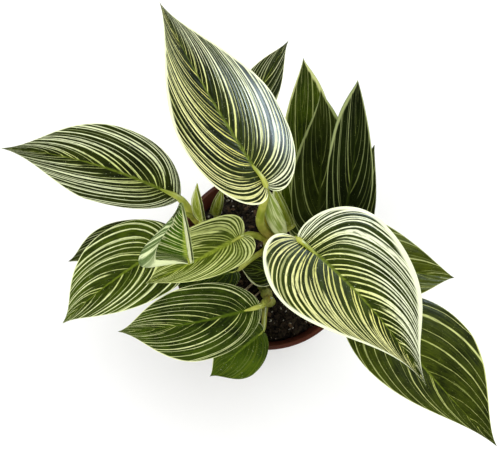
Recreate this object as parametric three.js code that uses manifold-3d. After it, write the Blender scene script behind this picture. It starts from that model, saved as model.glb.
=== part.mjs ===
// A striped philodendron in its grower pot, in millimetres, +Z up.
// The origin is the centre of the pot's flat bottom. Four short stems stand in holes in the soil.
// Each leaf is one grown piece: a petiole that clasps its stem, and a blade that runs on from it.
import * as THREE from 'three';
import { mergeVertices } from 'three/addons/utils/BufferGeometryUtils.js';
import Module from 'manifold-3d';

const wasm = await Module();
wasm.setup();

// ---- driving dimensions ---------------------------------------------------------------------

const clearance = 0.3; // between any two pieces that touch

const pot = {
  height: 98,
  rimRadius: 60,
  lip: 1.5, // rounding of the rim's edge
  bandHeight: 14, // the rim band that a hand grips
  bandStep: 1.8, // how far the band stands out from the wall
  bandSlope: 2, // height of the slope from the wall out to the band
  baseRadius: 43,
  foot: 1.5, // chamfer round the base
  wall: 2,
  floor: 2.6,
  holes: 8, // drain holes round the floor
  holeRadius: 4,
  holeRing: 30,
  segments: 36,
};

const soil = {
  level: 86,
  lump: 1.6, // how far crumbs stand out of the surface
  edgeDip: 3, // how much lower it lies at the wall
  edgeGap: 0.55,
  rings: 7,
};

const stemSides = 10;
const stemFoot = 62; // how deep the stems reach down
const leafScars = 5; // rings along a stem
const scarDepth = 0.35;
const stems = {
  stem_centre: { foot: [3, 3], crown: [4, 11, 122], radius: [5.6, 4.6] },
  stem_left: { foot: [-36, 17], crown: [-38, 19, 106], radius: [4.6, 3.8] },
  stem_right: { foot: [37, -4], crown: [38, 0, 102], radius: [5, 4] },
  stem_front: { foot: [-2, -15], crown: [3, -30, 104], radius: [4, 3.4] },
};

const bladeThickness = 0.9;
const ribDepth = 1.5; // how far the midrib stands out below at the base
const ribFade = 0.8; // power by which it fades towards the tip
const petioleSides = 7;
const petioleSteps = 7;
const petioleRunsOn = 0.07; // share of the midrib that the petiole runs on under

// A half blade that a leaf doesn't describe otherwise. half is its width. The margin runs back to the
// lobe, round the shoulder out to its widest place, on for a share of the rest (full) and in to the
// drip tip: these are shares of the length. fold is the angle by which the half turns up from the
// midrib, and curl is how far it turns on towards the margin: evenly if roll is 1, and mostly near the
// margin if it is more. Where the blade is narrower it curls less by the power taper, so a small one
// curls all along.
const plainHalf = {
  half: 24, widest: 0.36, lobe: 0.09, shoulder: 0.8, full: 0.5, drip: 0.16,
  fold: 12, curl: -20, roll: 1, taper: 1,
};
// Of the side veins, how many end behind the widest place, where on the midrib the one to that place
// starts, how much closer together they start near the base, and where each bends forward.
const veins = { behind: 0.4, toWidest: 0.13, crowding: 1.3, bendAlong: 0.25, bendOut: 0.65 };
const ripples = { number: 2.2, phase: 0.3 }; // waves along a margin, and their shift between halves
const curlSteps = 12;

// Each leaf: the height at which its petiole leaves the stem, the ends of its midrib, how far the
// midrib's two inner points stand off the straight line towards the face (rise) and sideways (sway),
// and the way its upper side looks. bow bends the petiole, whose radius runs from thick to thin.
// grid is the number of side veins and of steps along each that the faceted blade has.
const plainLeaf = { rise: [6, 6], sway: 0, wave: 0.8, bow: [0, 0, 0], petiole: [3, 1.8], grid: [12, 3] };
const leaves = [
  {
    name: 'new_leaf', stem: 'stem_centre', node: 120, petiole: [3.2, 2.6], finish: 'young',
    base: [9.5, 12, 130], tip: [0, 24, 189], rise: [2, 1], face: [-0.4, -0.5, 0.4],
    rolled: 6.4,
  },
  {
    name: 'leaf_top', stem: 'stem_centre', node: 119, bow: [-5.5, -5, 0], petiole: [3.6, 2.1],
    base: [-1, 22, 203], tip: [-62, 130, 208], rise: [9, 7], sway: -4, face: [0.05, -0.1, 1],
    left: { half: 27.5, widest: 0.33, drip: 0.2, full: 0.36, fold: 3 },
    right: { half: 34, widest: 0.33, drip: 0.2, full: 0.36, fold: 8, curl: -42 },
    grid: [14, 4],
  },
  {
    name: 'leaf_right_front', stem: 'stem_centre', node: 112, bow: [8, -6, 4], petiole: [3.4, 2.1],
    base: [17, -5, 190], tip: [95, -85, 142], rise: [10, 9], sway: -5, face: [0.2, -0.1, 1],
    left: { half: 40, widest: 0.24, lobe: 0.04, drip: 0.32, full: 0.6 },
    right: { half: 34, widest: 0.15, lobe: 0.14, drip: 0.33, full: 0.32 },
    grid: [14, 4],
  },
  {
    name: 'leaf_left_middle', stem: 'stem_centre', node: 113, bow: [-2, 1, 4],
    base: [-14, 1, 170], tip: [-73, -25, 152], rise: [5, 4], sway: -2, face: [0, -0.1, 1],
    left: { half: 14.5, widest: 0.15, lobe: 0.07, shoulder: 1.1 },
    right: { half: 19, widest: 0.45, lobe: 0.03, shoulder: 1.45, full: 0.55 },
    wave: 1.2,
  },
  {
    name: 'leaf_left_back', stem: 'stem_left', node: 101, bow: [0, -2, 2], petiole: [4.2, 2.2],
    base: [-53, 28, 150], tip: [-167, 63, 140], rise: [9, 9], sway: 7, face: [0, -0.1, 1],
    left: { half: 22, widest: 0.45, lobe: 0, full: 0.3 },
    right: { half: 27, widest: 0.36, lobe: 0, drip: 0.25 },
    grid: [14, 4],
  },
  {
    name: 'leaf_left_front', stem: 'stem_left', node: 97, bow: [-3, -2, 4],
    base: [-59, 5, 128], tip: [-132, -43, 98], rise: [9, 9], sway: 2, face: [-0.1, -0.1, 1],
    left: { half: 26, widest: 0.17, lobe: 0.12 },
    right: { half: 29, widest: 0.35, lobe: 0.06, full: 0.6, drip: 0.22 },
    grid: [13, 4],
  },
  {
    name: 'leaf_left_low', stem: 'stem_left', node: 93, bow: [-4, -2, 2], petiole: [2.6, 1.6],
    base: [-62, 12, 112], tip: [-129, -3, 103], rise: [4, 4], sway: 3, face: [0, -0.1, 1],
    left: { half: 16, lobe: 0.06 },
    right: { half: 15, widest: 0.48, full: 0.6 },
    grid: [9, 3],
  },
  {
    name: 'leaf_front', stem: 'stem_front', node: 100, petiole: [2.8, 1.8],
    base: [-4, -36, 132], tip: [-95, -49, 106], rise: [8, 8], sway: -4, face: [0, -0.1, 1],
    left: { half: 24, widest: 0.43, lobe: 0.02, full: 0.4, drip: 0.2 },
    right: { half: 23, widest: 0.39, lobe: 0.02, full: 0.6 },
    grid: [13, 4],
  },
  {
    name: 'leaf_front_low', stem: 'stem_front', node: 96, petiole: [2.4, 1.5], finish: 'plain',
    base: [-2, -49, 108], tip: [-36, -77, 96], rise: [3, 3], face: [0, -0.1, 1],
    left: { half: 17, widest: 0.47, lobe: 0.04 },
    right: { half: 17 },
    grid: [9, 3],
  },
  {
    name: 'leaf_left_under', stem: 'stem_centre', node: 103, bow: [0, 0, 5], petiole: [2.4, 1.5],
    finish: 'plain',
    base: [-19, -12, 120], tip: [-60, -19, 109], rise: [3, 3], face: [0, -0.1, 1],
    left: { half: 13 },
    right: { half: 13 },
    grid: [9, 3],
  },
  {
    name: 'leaf_centre_low', stem: 'stem_front', node: 91, petiole: [2.2, 1.4], finish: 'plain',
    base: [7, -10, 103], tip: [-17, -6, 99], rise: [2, 2], face: [0, -0.1, 1],
    left: { half: 11 },
    right: { half: 8 },
    grid: [8, 3],
  },
  {
    name: 'leaf_right_low', stem: 'stem_right', node: 96, bow: [4, -8, 8],
    base: [66, -35, 128], tip: [148, -121, 92], rise: [9, 8], sway: 4, face: [0.1, -0.1, 1],
    left: { half: 37, widest: 0.42, lobe: 0.03, full: 0.36 },
    right: { half: 28, widest: 0.17, lobe: 0.16, full: 0.36, drip: 0.3 },
    grid: [13, 4],
  },
  {
    name: 'leaf_right_back', stem: 'stem_right', node: 100, bow: [2, -4, 2],
    base: [45, -5, 148], tip: [117, -18, 131], rise: [5, 4], sway: 3, face: [0, -0.2, 1],
    left: { half: 25, widest: 0.18, full: 0.4, drip: 0.1 },
    right: { half: 23, widest: 0.33, full: 0.45 },
  },
  {
    name: 'leaf_back_right', stem: 'stem_right', node: 101, petiole: [3, 2],
    base: [47, 12, 136], tip: [50, 80, 214], rise: [6, 6], sway: 2, face: [0.1, -0.8, 0.6],
    left: { half: 15, widest: 0.5, full: 0.75, drip: 0.05 },
    right: { half: 14, widest: 0.25, lobe: 0.12, full: 0.35, drip: 0.04 },
  },
  {
    name: 'leaf_back_middle', stem: 'stem_right', node: 99, petiole: [2.8, 1.8],
    base: [32, 12, 120], tip: [31, 83, 192], rise: [5, 5], sway: 2, face: [0, -0.8, 0.6],
    left: { half: 18 },
    right: { half: 18, full: 0.75, drip: 0.08 },
  },
  {
    name: 'leaf_back_left', stem: 'stem_right', node: 97, petiole: [3, 2],
    base: [25, 13, 108], tip: [22, 108, 178], rise: [6, 6], sway: -1, face: [-0.1, -0.8, 0.6],
    left: { half: 14, full: 0.6, drip: 0.1 },
    right: { half: 21, widest: 0.42, full: 0.8, drip: 0.06 },
  },
  {
    name: 'leaf_back_far', stem: 'stem_centre', node: 109, bow: [0, 6, 8], petiole: [2.8, 1.7],
    base: [-16, 69, 150], tip: [14, 125, 165], rise: [5, 5], sway: -2, face: [0, -0.3, 1],
    left: { half: 13 },
    right: { half: 12 },
    grid: [10, 3],
  },
  {
    name: 'leaf_back_edge', stem: 'stem_right', node: 95, petiole: [2.6, 1.6],
    base: [59, 16, 106], tip: [67, 62, 150], rise: [4, 4], sway: -2, face: [-0.3, -0.7, 0.6],
    left: { half: 18, widest: 0.38 },
    right: { half: 11, widest: 0.27, drip: 0.1 },
    grid: [10, 3],
  },
  {
    name: 'leaf_left_young', stem: 'stem_left', node: 104, bow: [-9, 15, 14], petiole: [2, 1.3],
    base: [-44.5, -18, 187], tip: [-47, 9, 217], rise: [2, 2], face: [0, -0.7, 0.7],
    left: {
      half: 41, widest: 0.28, lobe: -0.1, shoulder: 0.2, drip: 0.25,
      fold: -10, curl: 270, roll: 3, taper: 0.1,
    },
    right: { half: 7, widest: 0.3, lobe: 0, fold: 80, curl: 20 },
    grid: [12, 8], wave: 0,
  },
  {
    name: 'sheath_left', stem: 'stem_left', node: 105, petiole: [4, 2.6], bow: [-1, -2, 2],
    finish: 'stem',
    base: [-41, 17, 134], tip: [-42, 31, 172], rise: [1, 1], face: [-0.6, -0.6, 0.4],
    left: { half: 4, lobe: 0, fold: 20, curl: 30 },
    right: { half: 6, widest: 0.3, lobe: 0, fold: 10, curl: 20 },
    grid: [8, 3], wave: 0,
  },
  {
    name: 'sheath_centre', stem: 'stem_centre', node: 119, petiole: [3, 2.4], finish: 'stem',
    base: [16, 16, 124], tip: [4, 34, 163], rise: [1, 1], face: [-0.5, -0.7, 0.4],
    left: { half: 6, lobe: 0, fold: 15, curl: 40 },
    right: { half: 5, lobe: 0, fold: 10, curl: 20 },
    grid: [8, 3], wave: 0,
  },
  {
    name: 'shoot', root: [-34, 28, 66], petiole: [2, 1.6], finish: 'stem',
    base: [-33, 30, 94], tip: [-28, 39, 128], rise: [1, 1], face: [-0.3, -0.9, 0.3],
    left: { half: 5, lobe: 0, fold: 30, curl: 60 },
    right: { half: 5, lobe: 0, fold: 30, curl: 60 },
    grid: [8, 3], wave: 0,
  },
];

// ---- small helpers on points ----------------------------------------------------------------

const vec = (list) => new THREE.Vector3(...list);
const radians = THREE.MathUtils.degToRad;

/** A closed solid from a list of points and a list of triangles. */
function solidFrom(points, triangles) {
  const geometry = new THREE.BufferGeometry().setFromPoints(points);
  geometry.setIndex(triangles.flat());
  return solid(geometry);
}

/** A closed geometry as a manifold that can be joined and cut. */
function solid(geometry) {
  const bare = geometry.clone();
  bare.deleteAttribute('normal');
  bare.deleteAttribute('uv');
  const merged = mergeVertices(bare, 1e-4);
  return new wasm.Manifold(new wasm.Mesh({
    numProp: 3,
    vertProperties: new Float32Array(merged.attributes.position.array),
    triVerts: new Uint32Array(merged.index.array),
  }));
}

/** The largest body of a cut solid: slivers past a cut are dropped. */
function mainBody(cut) {
  return cut.decompose().reduce((best, body) => (body.volume() > best.volume() ? body : best));
}

/** A named mesh from a manifold. */
function piece(name, body, material) {
  const mesh = body.getMesh();
  const geometry = new THREE.BufferGeometry();
  geometry.setAttribute('position', new THREE.BufferAttribute(mesh.vertProperties, 3));
  geometry.setIndex(new THREE.BufferAttribute(mesh.triVerts, 1));
  geometry.computeVertexNormals();
  const result = new THREE.Mesh(geometry, material);
  result.name = name;
  return result;
}

/** A closed tube along a curve: radius(along, round) takes its shares of the length and the turn. */
function taperedTube(curve, radius, sides, steps) {
  const frames = curve.computeFrenetFrames(steps, false);
  const points = [];
  const triangles = [];
  for (let i = 0; i <= steps; i++) {
    const centre = curve.getPointAt(i / steps);
    for (let k = 0; k < sides; k++) {
      const angle = (k / sides) * 2 * Math.PI;
      const reach = radius(i / steps, k / sides);
      points.push(centre.clone()
        .addScaledVector(frames.normals[i], reach * Math.cos(angle))
        .addScaledVector(frames.binormals[i], reach * Math.sin(angle)));
    }
  }
  const at = (i, k) => i * sides + (k % sides);
  for (let i = 0; i < steps; i++) {
    for (let k = 0; k < sides; k++) {
      triangles.push([at(i, k), at(i, k + 1), at(i + 1, k + 1)]);
      triangles.push([at(i, k), at(i + 1, k + 1), at(i + 1, k)]);
    }
  }
  for (let k = 1; k < sides - 1; k++) {
    triangles.push([at(0, 0), at(0, k + 1), at(0, k)]);
    triangles.push([at(steps, 0), at(steps, k), at(steps, k + 1)]);
  }
  return solidFrom(points, triangles);
}

// ---- the blade --------------------------------------------------------------------------------

/** What a leaf says of one of its halves: hand is -1 on the left half and 1 on the right. */
const halfOf = (leaf, hand) => (hand < 0 ? leaf.left : leaf.right);

/** The margin of a half blade, as [along, out] in shares of length and half width. */
function marginCurve({ widest, lobe, shoulder, full, drip }) {
  const lobeReach = 1.5;
  const back = new THREE.CubicBezierCurve(
    new THREE.Vector2(0, 0),
    new THREE.Vector2(-lobeReach * lobe, 0.12),
    new THREE.Vector2(widest - shoulder * (widest + lobe), 1),
    new THREE.Vector2(widest, 1),
  );
  const front = new THREE.CubicBezierCurve(
    new THREE.Vector2(widest, 1),
    new THREE.Vector2(widest + full * (1 - widest), 1),
    new THREE.Vector2(1 - drip, 0.1),
    new THREE.Vector2(1, 0),
  );
  return { back, front };
}

/** The rows of a half blade: each runs along a side vein, from the midrib out to the margin. */
function veinRows(half, rows, columns) {
  const { back, front } = marginCurve(half);
  const backRows = Math.round(rows * veins.behind);
  const grid = [];
  for (let i = 1; i < rows; i++) {
    const inBack = i <= backRows;
    const share = inBack ? i / backRows : (i - backRows) / (rows - backRows);
    const end = (inBack ? back : front).getPoint(share);
    const start = inBack
      ? veins.toWidest * share
      : THREE.MathUtils.lerp(veins.toWidest, 1, share ** veins.crowding);
    const bend = new THREE.Vector2(
      THREE.MathUtils.lerp(start, end.x, veins.bendAlong), veins.bendOut * end.y);
    const vein = new THREE.QuadraticBezierCurve(new THREE.Vector2(start, 0), bend, end);
    grid.push(Array.from({ length: columns + 1 }, (_, j) => vein.getPoint(j / columns)));
  }
  return grid;
}

/** The midrib of a leaf as a curve, with the blade's sideways and upward directions along it. */
function midribFrame(leaf) {
  const base = vec(leaf.base);
  const tip = vec(leaf.tip);
  const along = tip.clone().sub(base).normalize();
  const side = along.clone().cross(vec(leaf.face)).normalize();
  const up = side.clone().cross(along).normalize();
  const inner = leaf.rise.map((rise, i) => base.clone().lerp(tip, (i + 1) / 3)
    .addScaledVector(up, rise).addScaledVector(side, leaf.sway));
  const curve = new THREE.CubicBezierCurve3(base, ...inner, tip);
  const length = base.distanceTo(tip);
  return {
    curve,
    length,
    at(share) {
      const inside = THREE.MathUtils.clamp(share, 0, 1);
      const tangent = curve.getTangent(inside);
      const out = tangent.clone().cross(up).normalize();
      const point = curve.getPoint(inside).addScaledVector(tangent, (share - inside) * length);
      return { point, out, up: out.clone().cross(tangent).normalize() };
    },
  };
}

/** A point of the blade's middle surface, on a vein that ends at the margin at the reach edge. */
function bladePoint(leaf, frame, { x: share, y: reach }, edge, hand) {
  const half = halfOf(leaf, hand);
  const stride = (reach * half.half) / curlSteps;
  let out = 0;
  let lift = 0;
  for (let i = 0; i < curlSteps; i++) {
    const towardsMargin = (reach / edge) * ((i + 0.5) / curlSteps);
    const turned = radians(half.fold + half.curl * edge ** half.taper * towardsMargin ** half.roll);
    out += stride * Math.cos(turned);
    lift += stride * Math.sin(turned);
  }
  const ripple = leaf.wave * reach ** 2
    * Math.sin(2 * Math.PI * (ripples.number * share + ripples.phase * hand));
  const place = frame.at(share);
  return place.point.addScaledVector(place.out, hand * out).addScaledVector(place.up, lift + ripple);
}

/** A leaf blade as a closed thin solid, thicker along its midrib. */
function bladeSolid(leaf) {
  const [rows, columns] = leaf.grid;
  const frame = midribFrame(leaf);
  const middle = [];
  const grids = [];
  const put = (point, depth) => middle.push({ point, depth }) - 1;
  const rib = (share) => bladeThickness / 2 + ribDepth * (1 - share) ** ribFade;
  const base = put(frame.at(0).point, rib(0));
  const midrib = veinRows(leaf.left, rows, columns)
    .map(([start]) => put(frame.at(start.x).point, rib(start.x)));
  const tip = put(frame.at(1).point, bladeThickness / 2);
  for (const hand of [-1, 1]) {
    grids.push({
      hand,
      index: veinRows(halfOf(leaf, hand), rows, columns).map((vein, i) => vein.map((spot, j) => (j === 0
        ? midrib[i]
        : put(bladePoint(leaf, frame, spot, vein[columns].y, hand), bladeThickness / 2)))),
    });
  }

  const upper = [];
  const rim = [];
  for (const { hand, index } of grids) {
    const face = (a, b, c) => upper.push(hand > 0 ? [a, c, b] : [a, b, c]);
    const last = index.length - 1;
    for (let j = 0; j < columns; j++) {
      face(base, index[0][j], index[0][j + 1]);
      for (let i = 0; i < last; i++) {
        face(index[i][j], index[i + 1][j], index[i + 1][j + 1]);
        face(index[i][j], index[i + 1][j + 1], index[i][j + 1]);
      }
      face(index[last][j], tip, index[last][j + 1]);
    }
    const margin = [base, ...index.map((row) => row[columns]), tip];
    rim.push(hand > 0 ? margin.reverse() : margin);
  }

  const normals = middle.map(() => new THREE.Vector3());
  for (const [a, b, c] of upper) {
    const ab = middle[b].point.clone().sub(middle[a].point);
    const ac = middle[c].point.clone().sub(middle[a].point);
    const normal = ab.cross(ac);
    [a, b, c].forEach((corner) => normals[corner].add(normal));
  }
  normals.forEach((normal) => normal.normalize());
  const top = middle.map(({ point }, i) => point.clone()
    .addScaledVector(normals[i], bladeThickness / 2));
  const bottom = middle.map(({ point, depth }, i) => point.clone()
    .addScaledVector(normals[i], -depth));
  const below = middle.length;
  const triangles = [...upper, ...upper.map(([a, b, c]) => [a + below, c + below, b + below])];
  for (const margin of rim) {
    for (let i = 0; i < margin.length - 1; i++) {
      const [a, b] = [margin[i], margin[i + 1]];
      triangles.push([a, b, b + below], [a, b + below, a + below]);
    }
  }
  return { body: solidFrom([...top, ...bottom], triangles), frame };
}

/** A young blade that is still rolled up round its midrib, with the step of its outer margin. */
function rolledSolid(leaf) {
  const frame = midribFrame(leaf);
  const [rows, sides] = leaf.grid;
  const step = 0.22;
  const [belly, end] = [0.28, 0.98]; // from where to where it follows a half wave
  const radius = (along, round) => leaf.rolled * (1 - step * round)
    * Math.sin(Math.PI * THREE.MathUtils.lerp(belly, end, along));
  return { body: taperedTube(frame.curve, radius, 3 * sides, rows), frame };
}

// ---- stems and petioles -------------------------------------------------------------------------

/** The line of a stem from its foot in the soil to its crown. */
function stemLine({ foot, crown }, extra) {
  const bottom = new THREE.Vector3(foot[0], foot[1], stemFoot - extra);
  const ground = new THREE.Vector3(foot[0], foot[1], soil.level);
  const top = vec(crown);
  const beyond = top.clone().sub(ground).setLength(extra);
  return new THREE.CatmullRomCurve3([bottom, ground, top.add(beyond)]);
}

/** A stem with a slight ring at each leaf scar; extra widens it to cut its neighbours. */
function stemSolid(stem, extra = 0) {
  const radius = (t) => THREE.MathUtils.lerp(...stem.radius, t) + extra
    + scarDepth * Math.cos(2 * Math.PI * leafScars * t);
  return taperedTube(stemLine(stem, extra), radius, stemSides, 3 * leafScars);
}

/** The point on a stem's axis at a height. */
function stemPoint(stem, height) {
  const ground = new THREE.Vector3(stem.foot[0], stem.foot[1], soil.level);
  const crown = vec(stem.crown);
  return ground.lerp(crown, (height - soil.level) / (crown.z - soil.level));
}

/** A petiole from its stem to just under the base of its blade. */
function petioleSolid(leaf, frame, extra = 0) {
  const root = leaf.root ? vec(leaf.root) : stemPoint(stems[leaf.stem], leaf.node);
  const [thick, thin] = leaf.petiole;
  const neck = frame.at(0);
  const join = frame.at(petioleRunsOn);
  const base = neck.point.clone().addScaledVector(neck.up, -thin * 0.7);
  const middle = root.clone().lerp(base, 0.5).add(vec(leaf.bow));
  root.addScaledVector(middle.clone().sub(root).normalize(), -extra);
  const line = new THREE.CatmullRomCurve3([
    root, middle, base, join.point.clone().addScaledVector(join.up, -thin * 0.5),
  ]);
  const radius = (t) => thin + (thick - thin) * (1 - t) ** 2 + extra;
  return taperedTube(line, radius, petioleSides, petioleSteps);
}

// ---- pot and soil -------------------------------------------------------------------------------

/** The radius of the pot's outer wall at a height. */
const wallRadius = (height) => THREE.MathUtils.mapLinear(
  height, 0, pot.height, pot.baseRadius, pot.rimRadius - pot.bandStep,
);

/** The pot: a tapered shell with a rim band, a rounded lip and drain holes in its floor. */
function potSolid() {
  const bandFoot = pot.height - pot.bandHeight;
  const below = bandFoot - pot.bandSlope;
  const lip = new THREE.EllipseCurve(
    pot.rimRadius - pot.lip, pot.height - pot.lip, pot.lip, pot.lip, 0, Math.PI);
  const profile = [
    new THREE.Vector2(0, 0),
    new THREE.Vector2(pot.baseRadius - pot.foot, 0),
    new THREE.Vector2(pot.baseRadius, pot.foot),
    new THREE.Vector2(wallRadius(below), below),
    new THREE.Vector2(wallRadius(bandFoot) + pot.bandStep, bandFoot),
    ...lip.getPoints(4),
    new THREE.Vector2(wallRadius(bandFoot) - pot.wall, bandFoot),
    new THREE.Vector2(wallRadius(pot.floor) - pot.wall, pot.floor),
    new THREE.Vector2(0, pot.floor),
  ];
  let body = latheSolid(profile, pot.segments);
  for (let k = 0; k < pot.holes; k++) {
    const angle = ((k + 0.5) / pot.holes) * 2 * Math.PI;
    const hole = new THREE.CylinderGeometry(pot.holeRadius, pot.holeRadius, 4 * pot.floor, 8);
    hole.rotateX(Math.PI / 2);
    hole.translate(pot.holeRing * Math.cos(angle), pot.holeRing * Math.sin(angle), 0);
    body = body.subtract(solid(hole));
  }
  return body;
}

/** A solid turned round +Z from a profile that starts and ends on the axis, outside first. */
function latheSolid(profile, segments) {
  const geometry = new THREE.LatheGeometry(profile, segments);
  geometry.rotateX(Math.PI / 2);
  return solid(geometry);
}

/** The soil fills the pot; its top is crumbly and lies a little lower at the wall. */
function soilSolid() {
  const bottom = pot.floor + clearance;
  const reach = (height) => wallRadius(height) - pot.wall - soil.edgeGap;
  const lumps = (x, y) => Math.sin(0.37 * x + 1.3) * Math.cos(0.31 * y);
  const crumbs = (x, y) => 0.6 * Math.sin(0.83 * x - 0.71 * y);
  const top = (x, y) => soil.level + soil.lump * (lumps(x, y) + crumbs(x, y));
  const points = [];
  const triangles = [];
  const ringAt = (radius, height) => {
    for (let k = 0; k < pot.segments; k++) {
      const angle = (k / pot.segments) * 2 * Math.PI;
      const [x, y] = [radius * Math.cos(angle), radius * Math.sin(angle)];
      points.push(new THREE.Vector3(x, y, height(x, y)));
    }
  };
  const edge = reach(soil.level - soil.edgeDip - soil.lump);
  points.push(new THREE.Vector3(0, 0, bottom));
  ringAt(reach(bottom), () => bottom);
  for (let i = soil.rings; i > 0; i--) {
    const share = i / soil.rings;
    const dip = soil.edgeDip * share ** 6;
    ringAt(edge * share, (x, y) => top(x, y) - dip);
  }
  points.push(new THREE.Vector3(0, 0, top(0, 0)));
  const at = (i, k) => 1 + i * pot.segments + (k % pot.segments);
  const summit = points.length - 1;
  for (let k = 0; k < pot.segments; k++) {
    triangles.push([0, at(0, k + 1), at(0, k)]);
    for (let i = 0; i < soil.rings; i++) {
      triangles.push([at(i, k), at(i, k + 1), at(i + 1, k + 1)]);
      triangles.push([at(i, k), at(i + 1, k + 1), at(i + 1, k)]);
    }
    triangles.push([at(soil.rings, k), at(soil.rings, k + 1), summit]);
  }
  return solidFrom(points, triangles);
}

// ---- assembly -----------------------------------------------------------------------------------

const finish = (color, roughness) => new THREE.MeshStandardMaterial({ color, roughness, metalness: 0 });
const materials = {
  pot: finish(0x5a2a1c, 0.55),
  soil: finish(0x2a1d16, 0.95),
  stem: finish(0x9aa83c, 0.5),
  striped: finish(0x5f7a2c, 0.35),
  plain: finish(0x3f5f14, 0.4),
  young: finish(0xb7c97c, 0.4),
};

const plant = new THREE.Group();
plant.add(piece('pot', potSolid(), materials.pot));

const holesInSoil = [];
const wideStems = [];
for (const [name, stem] of Object.entries(stems)) {
  wideStems.push(stemSolid(stem, clearance));
  plant.add(piece(name, stemSolid(stem), materials.stem));
}
holesInSoil.push(...wideStems);

const earlierPetioles = [];
for (const spec of leaves) {
  const leaf = {
    ...plainLeaf,
    ...spec,
    left: { ...plainHalf, ...spec.left },
    right: { ...plainHalf, ...spec.right },
  };
  const { body, frame } = leaf.rolled ? rolledSolid(leaf) : bladeSolid(leaf);
  let petiole = petioleSolid(leaf, frame);
  for (const wide of [...wideStems, ...earlierPetioles]) {
    petiole = petiole.subtract(wide);
  }
  plant.add(piece(leaf.name, mainBody(petiole).add(body), materials[leaf.finish ?? 'striped']));
  const widePetiole = petioleSolid(leaf, frame, clearance);
  earlierPetioles.push(widePetiole);
  if (leaf.root) {
    holesInSoil.push(widePetiole);
  }
}
plant.add(piece('soil', holesInSoil.reduce((body, hole) => body.subtract(hole), soilSolid()),
  materials.soil));

export default plant;
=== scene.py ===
# A striped philodendron in its grower pot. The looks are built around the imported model, in metres, +Z up.
import math

import bpy
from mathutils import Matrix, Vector


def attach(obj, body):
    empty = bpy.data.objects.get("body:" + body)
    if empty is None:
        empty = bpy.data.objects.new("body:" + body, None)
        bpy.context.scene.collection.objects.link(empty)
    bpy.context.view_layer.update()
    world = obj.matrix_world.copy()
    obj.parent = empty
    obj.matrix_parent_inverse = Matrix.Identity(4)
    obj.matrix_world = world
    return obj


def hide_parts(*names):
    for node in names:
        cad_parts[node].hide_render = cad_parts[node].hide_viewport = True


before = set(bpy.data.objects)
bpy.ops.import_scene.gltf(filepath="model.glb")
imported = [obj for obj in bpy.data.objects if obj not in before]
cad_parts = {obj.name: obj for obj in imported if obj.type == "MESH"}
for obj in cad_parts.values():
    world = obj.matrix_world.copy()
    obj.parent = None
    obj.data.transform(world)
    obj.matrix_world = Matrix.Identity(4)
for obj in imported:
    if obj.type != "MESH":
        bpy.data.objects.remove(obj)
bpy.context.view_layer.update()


# ---- the table and the light --------------------------------------------------------------------
# The plant stands on a plain white table top. Large soft lamps hang over it, the brightest at the
# upper right, and the camera looks down on the leaves from just in front of the pot.
def tint(red, green, blue):
    """A colour as a paint chart gives it, 0 to 255, in the light values that Blender works with."""
    return tuple(((part / 255 + 0.055) / 1.055) ** 2.4 for part in (red, green, blue)) + (1.0,)


def is_vector(term):
    """Whether a term of a sum is a vector or a colour, and not a number."""
    if isinstance(term, Wire):
        return term.socket.type in ("VECTOR", "RGBA")
    return isinstance(term, (tuple, Vector))


def calculate(operation, first, second):
    """Joins two terms, of which one at least is a wire, in a node."""
    tree = first.tree if isinstance(first, Wire) else second.tree
    if not (is_vector(first) or is_vector(second)):
        return tree.node("ShaderNodeMath", {"operation": operation}, {0: first, 1: second})
    if is_vector(first) and is_vector(second):
        return tree.node("ShaderNodeVectorMath", {"operation": operation}, {0: first, 1: second})
    vector, number = (first, second) if is_vector(first) else (second, first)
    return tree.node("ShaderNodeVectorMath", {"operation": "SCALE"}, {0: vector, 3: number})


class Wire:
    """An output of a node, on which sums are written as plain expressions: each adds its node."""

    def __init__(self, tree, socket):
        self.tree = tree
        self.socket = socket

    def __add__(self, other):
        return calculate("ADD", self, other)

    def __radd__(self, other):
        return calculate("ADD", other, self)

    def __sub__(self, other):
        return calculate("SUBTRACT", self, other)

    def __rsub__(self, other):
        return calculate("SUBTRACT", other, self)

    def __mul__(self, other):
        return calculate("MULTIPLY", self, other)

    def __rmul__(self, other):
        return calculate("MULTIPLY", other, self)

    def __truediv__(self, other):
        return calculate("DIVIDE", self, other)

    def __rtruediv__(self, other):
        return calculate("DIVIDE", other, self)

    def __pow__(self, other):
        return calculate("POWER", self, other)

    def __rpow__(self, other):
        return calculate("POWER", other, self)

    def __gt__(self, other):
        return calculate("GREATER_THAN", self, other)

    def __lt__(self, other):
        return calculate("LESS_THAN", self, other)

    def most(self, other):
        return calculate("MAXIMUM", self, other)

    def least(self, other):
        return calculate("MINIMUM", self, other)

    def cross(self, other):
        return calculate("CROSS_PRODUCT", self, other)

    def apply(self, operation):
        """A function of one number: SINE, COSINE, ABSOLUTE, FLOOR, FRACT, SQRT."""
        return self.tree.node("ShaderNodeMath", {"operation": operation}, {0: self})

    def unit(self):
        return self.tree.node("ShaderNodeVectorMath", {"operation": "NORMALIZE"}, {0: self})

    def parts(self):
        """The three numbers of a vector or colour."""
        split = self.tree.node("ShaderNodeSeparateXYZ", {}, {0: self}).socket.node
        return [Wire(self.tree, socket) for socket in split.outputs]

    def step(self, low, high):
        """Rises smoothly from 0 to 1 between two values."""
        settings = {"interpolation_type": "SMOOTHSTEP"}
        return self.tree.node("ShaderNodeMapRange", settings, {0: self, 1: low, 2: high})


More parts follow.
